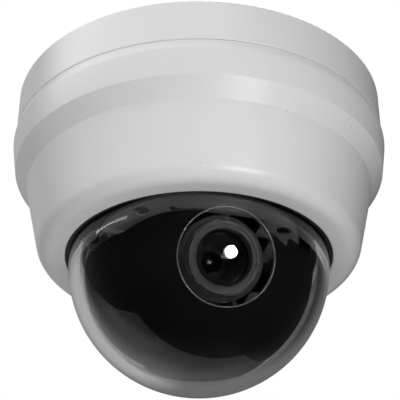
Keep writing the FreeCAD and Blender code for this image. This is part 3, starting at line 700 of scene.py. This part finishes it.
def lens_baffle():
    """Stepped light trap behind the front element: grooves that narrow towards the iris."""
    wall = LENS_BORE - 0.05
    outline = [Vector((wall, TRAP_BACK)), Vector((wall, TRAP_FRONT))]
    for index in range(TRAP_GROOVES):
        radius = 9.2 - 2.6 * index / TRAP_GROOVES
        height = TRAP_FRONT - 9.8 * index / TRAP_GROOVES
        outline.append(Vector((radius, height)))
        outline.append(Vector((radius - 0.55, height - 0.15)))
        outline.append(Vector((radius - 0.15, height - 0.95)))
    outline.append(Vector((6.3, TRAP_BACK)))
    return along_the_lens(turned("lens_light_trap", outline, steps=128))


def iris():
    """Seven-sided iris opening ahead of the middle element."""
    outline = rounded([(7.7, 18.9, 0), (7.7, 19.3, 0), (4.4, 19.6, 0.05), (4.4, 19.45, 0.05)])
    return along_the_lens(turned("lens_iris", outline, steps=7))


def aperture_trim():
    """Thin bevelled ring that lines the shroud's opening."""
    front = math.sqrt(SHROUD_RADIUS ** 2 - APERTURE ** 2)
    back = front - 1.6
    return along_the_lens(turned("shroud_opening_ring", rounded([
        (APERTURE, back, 0), (APERTURE, front, 0.12), (APERTURE_INSIDE, front, 0.2),
        (APERTURE_INSIDE, back, 0),
    ]), steps=160))


finished(lens_ring(), "focus", slot_of["front_ring"], "front_ring")
finished(front_element(), "focus", "lens_glass", "front_lens_glass")
finished(middle_element(), "camera", "lens_glass", "middle_lens_glass")
finished(focus_sleeve(), "focus", slot_of["focus_ring"], "focus_ring")
finished(zoom_sleeve(), "zoom", slot_of["zoom_ring"], "zoom_ring")
finished(lens_baffle(), "camera", "lens_black", smooth=20)
finished(iris(), "camera", "lens_black", smooth=10)
finished(aperture_trim(), "camera", slot_of["aperture_ring"], "aperture_ring")


# ---------------------------------------------------------------- studio

# Places in metres; the viewer stands at the front, below the ceiling and looking up
MIDDLE = Vector((0, 0, -0.06))
HIGHLIGHT = Vector((0.012, -0.047, -0.094))
FLOOR_DEPTH = 7.5
CAMERA_PLACE = (0, -0.564, -0.3818)
CAMERA_VIEW = Vector((0, 0.8578, 0.5140))
CAMERA_LENS = 144.93
CAMERA_SENSOR = 36
CAMERA_SHIFT = 0.0025


def facing(direction):
    return direction.to_track_quat("-Z", "Y").to_euler()


def away(bearing_deg, rise_deg):
    """A direction away from the object: to the right of the front, and above level."""
    bearing, rise = math.radians(bearing_deg), math.radians(rise_deg)
    level = math.cos(rise)
    return Vector((level * math.sin(bearing), -level * math.cos(bearing), math.sin(rise)))


def soft_lamp(name, place, target, width, height, radiance, round_shape=False):
    """An area lamp of a given size in metres, as bright per area as radiance."""
    data = bpy.data.lights.new(name, "AREA")
    data.shape = "DISK" if round_shape else "RECTANGLE"
    data.size = width
    if round_shape:
        area = math.pi * width ** 2 / 4
    else:
        data.size_y = height
        area = width * height
    data.energy = radiance * math.pi * area
    lamp = bpy.data.objects.new(name, data)
    lamp.location = place
    lamp.rotation_euler = facing(target - Vector(place))
    bpy.context.scene.collection.objects.link(lamp)
    return lamp


def surroundings():
    """White to the camera; for light and reflections, a dim room with a paler wall behind."""
    world = bpy.data.worlds.new("studio_surroundings")
    bpy.context.scene.world = world
    finish = Finish(world)
    heading = finish.node("TexCoord", output="Generated")
    sideways = finish.node("SeparateXYZ", inputs={"Vector": heading}, output="X")
    depth = finish.node("SeparateXYZ", inputs={"Vector": heading}, output="Y")
    wall = finish.ramp(depth, (0.0, 0.006), (0.45, 0.05), (0.72, 0.15))
    wall = wall * finish.ramp(sideways, (0.3, 1.0), (0.6, 0.2))
    window = finish.ramp(sideways * -1.0, (0.08, 0.0), (0.3, 1.0))
    window = window * finish.ramp(depth, (0.5, 0.0), (0.64, 1.0))
    room = wall + 0.25 * window
    direct = finish.node("LightPath", output="Is Camera Ray")
    shade = finish.blend(direct, room, 1.0)
    lit = finish.node("Background", inputs={"Color": shade, "Strength": 1.0})
    finish.node("OutputWorld", inputs={"Surface": lit})


def studio_floor():
    """A plain pale floor far below the ceiling fitting."""
    bpy.ops.object.select_all(action="DESELECT")
    place = (0, 0, -FLOOR_DEPTH)
    bpy.ops.mesh.primitive_circle_add(vertices=64, radius=1.3, fill_type="NGON", location=place)
    floor = bpy.context.active_object
    floor.name = "studio_floor"
    finish = new_finish("pale_floor")
    tone = finish.blend(finish.noise(0.4), 0.72, 0.76)
    floor.data.materials.append(finish.surface(tone, 0.8))
    floor.visible_glossy = False
    floor.visible_transmission = False


def studio_lamps():
    """A wide key above, a square lamp to the left, a small round one in front and a low fill."""
    soft_lamp("key_lamp", (-0.3, -1.05, 1.35), MIDDLE, 1.9, 0.7, 3.0)
    soft_lamp("left_lamp", (-1.15, -0.2, 0.92), MIDDLE, 0.9, 0.9, 3.9)
    round_place = HIGHLIGHT + 0.7 * away(28.24, -12.36)
    soft_lamp("round_lamp", round_place, HIGHLIGHT, 0.138, 0.138, 55.0, round_shape=True)
    fill = soft_lamp("fill_lamp", (-0.3, -0.75, -1.3), MIDDLE, 1.2, 1.0, 2.5)
    fill.visible_glossy = False
    fill.visible_transmission = False


def studio_camera():
    camera = bpy.data.objects.new("camera", bpy.data.cameras.new("camera"))
    bpy.context.scene.collection.objects.link(camera)
    camera.location = CAMERA_PLACE
    camera.rotation_euler = facing(CAMERA_VIEW)
    camera.data.lens = CAMERA_LENS
    camera.data.sensor_width = CAMERA_SENSOR
    camera.data.shift_x = CAMERA_SHIFT
    bpy.context.scene.camera = camera


surroundings()
studio_floor()
studio_lamps()
studio_camera()
bpy.context.scene.view_settings.view_transform = "Standard"
